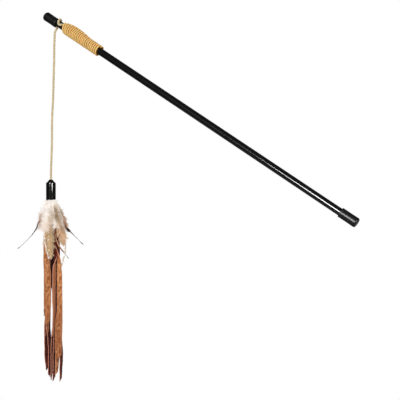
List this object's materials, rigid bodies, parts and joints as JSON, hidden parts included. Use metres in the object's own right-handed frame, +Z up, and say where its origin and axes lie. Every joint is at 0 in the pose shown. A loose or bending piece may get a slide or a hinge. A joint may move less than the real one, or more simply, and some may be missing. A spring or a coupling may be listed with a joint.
{
  "type": "feather cat wand",
  "caption": "Straight black rod with vinyl end caps, a twine winding that ties on a thin cord, and a capped lure of suede strips and feathers that hangs from it.",
  "frame": {"origin": "middle of the grip, on the rod's axis, where the wand is held", "axes": "+Z up with the lure hanging along -Z, the rod in the XZ plane with its tip towards -X and up, +Y away from the side that the picture shows"},
  "size_m": [0.3966, 0.0387, 0.4331],
  "materials": {
    "rod": "satin extruded tube",
    "cap_vinyl": "soft dipped vinyl",
    "twine": "twisted honey-coloured twine",
    "cord": "thin twisted tan cord",
    "glue": "hot-melt glue",
    "suede": "napped tan suede, cut edges",
    "white_down": "fluffy down feather",
    "tan_vane": "tan feather vane",
    "dark_vane": "dark brown hackle"
  },
  "bodies": {
    "wand": {"rod": "rod", "tip_cap": "cap_vinyl", "butt_cap": "cap_vinyl", "twine_wrap": "twine", "cord_hitch": "cord"},
    "upper_cord": {"cord_1": "cord"},
    "middle_cord": {"cord_2": "cord"},
    "lower_cord": {"cord_3": "cord"},
    "stopper": {"cord_knot": "cord"},
    "lure": {"lure_cap": "cap_vinyl", "glue_plug": "glue", "white_plume_front_left": "white_down", "tan_feather_left": "tan_vane", "dark_hackle_left": "dark_vane", "pale_hackle_left": "white_down", "white_plume_left": "white_down", "brown_hackle_low": "dark_vane", "white_plume_front_right": "white_down", "tan_feather_right": "tan_vane", "dark_hackle_right": "dark_vane", "white_plume_back_left": "white_down", "white_plume_back_right": "white_down", "white_plume_right": "white_down", "pale_hackle_right": "white_down"},
    "strip_front_left": {"strip_front_left": "suede"},
    "strip_front_middle": {"strip_front_middle": "suede"},
    "strip_front_right": {"strip_front_right": "suede"},
    "strip_back_left": {"strip_back_left": "suede"},
    "strip_back_mid_left": {"strip_back_mid_left": "suede"},
    "strip_back_middle": {"strip_back_middle": "suede"},
    "strip_back_mid_right": {"strip_back_mid_right": "suede"},
    "strip_back_right": {"strip_back_right": "suede"},
    "strip_far_right": {"strip_far_right": "suede"}
  },
  "joints": [
    {"name": "cord_swing", "type": "hinge", "parent": "wand", "child": "upper_cord", "pos_m": [-0.28478, -0.00008, 0.16975], "axis": [0, 1, 0], "range_deg": [-45, 90]},
    {"name": "cord_sway", "type": "hinge", "parent": "upper_cord", "child": "middle_cord", "pos_m": [-0.28643, 0.00041, 0.1251], "axis": [1, 0, 0], "range_deg": [-75, 75]},
    {"name": "cord_bend", "type": "hinge", "parent": "middle_cord", "child": "lower_cord", "pos_m": [-0.28868, -0.00002, 0.06116], "axis": [0, 1, 0], "range_deg": [-60, 60]},
    {"name": "lure_tilt", "type": "hinge", "parent": "lower_cord", "child": "stopper", "pos_m": [-0.29017, 0.0001, -0.00119], "axis": [1, 0, 0], "range_deg": [-12, 12]},
    {"name": "lure_spin", "type": "hinge", "parent": "stopper", "child": "lure", "pos_m": [-0.29017, 0.0001, -0.02359], "axis": [0, 0, 1], "continuous": true},
    {"name": "strip_front_left_swing", "type": "hinge", "parent": "lure", "child": "strip_front_left", "pos_m": [-0.29098, -0.00274, -0.02319], "axis": [-0.9703, 0.2419, 0], "range_deg": [0, 30], "deforming": ["white_plume_front_left", "tan_feather_left", "dark_hackle_left", "pale_hackle_left", "white_plume_left"]},
    {"name": "strip_front_middle_swing", "type": "hinge", "parent": "lure", "child": "strip_front_middle", "pos_m": [-0.28874, -0.00248, -0.02319], "axis": [-0.9903, 0.1392, 0], "range_deg": [0, 30], "deforming": ["brown_hackle_low"]},
    {"name": "strip_front_right_swing", "type": "hinge", "parent": "lure", "child": "strip_front_right", "pos_m": [-0.28727, -0.00046, -0.02319], "axis": [-0.6691, -0.7431, 0], "range_deg": [0, 30], "deforming": ["white_plume_front_right", "tan_feather_right", "dark_hackle_right"]},
    {"name": "strip_back_left_swing", "type": "hinge", "parent": "lure", "child": "strip_back_left", "pos_m": [-0.29282, -0.00119, -0.02319], "axis": [0.7193, 0.6947, 0], "range_deg": [0, 30]},
    {"name": "strip_back_mid_left_swing", "type": "hinge", "parent": "lure", "child": "strip_back_mid_left", "pos_m": [-0.29303, 0.00081, -0.02319], "axis": [0.9848, 0.1736, 0], "range_deg": [0, 30], "deforming": ["white_plume_back_left"]},
    {"name": "strip_back_middle_swing", "type": "hinge", "parent": "lure", "child": "strip_back_middle", "pos_m": [-0.29198, 0.00242, -0.02319], "axis": [0.9925, 0.1219, 0], "range_deg": [0, 30]},
    {"name": "strip_back_mid_right_swing", "type": "hinge", "parent": "lure", "child": "strip_back_mid_right", "pos_m": [-0.29027, 0.00305, -0.02319], "axis": [0.9976, 0.0698, 0], "range_deg": [0, 30], "deforming": ["white_plume_back_right"]},
    {"name": "strip_back_right_swing", "type": "hinge", "parent": "lure", "child": "strip_back_right", "pos_m": [-0.2886, 0.0026, -0.02319], "axis": [0.9998, -0.0175, 0], "range_deg": [0, 30]},
    {"name": "strip_far_right_swing", "type": "hinge", "parent": "lure", "child": "strip_far_right", "pos_m": [-0.28747, 0.0013, -0.02319], "axis": [0.9781, -0.2079, 0], "range_deg": [0, 30], "deforming": ["white_plume_right", "pale_hackle_right"]}
  ]
}
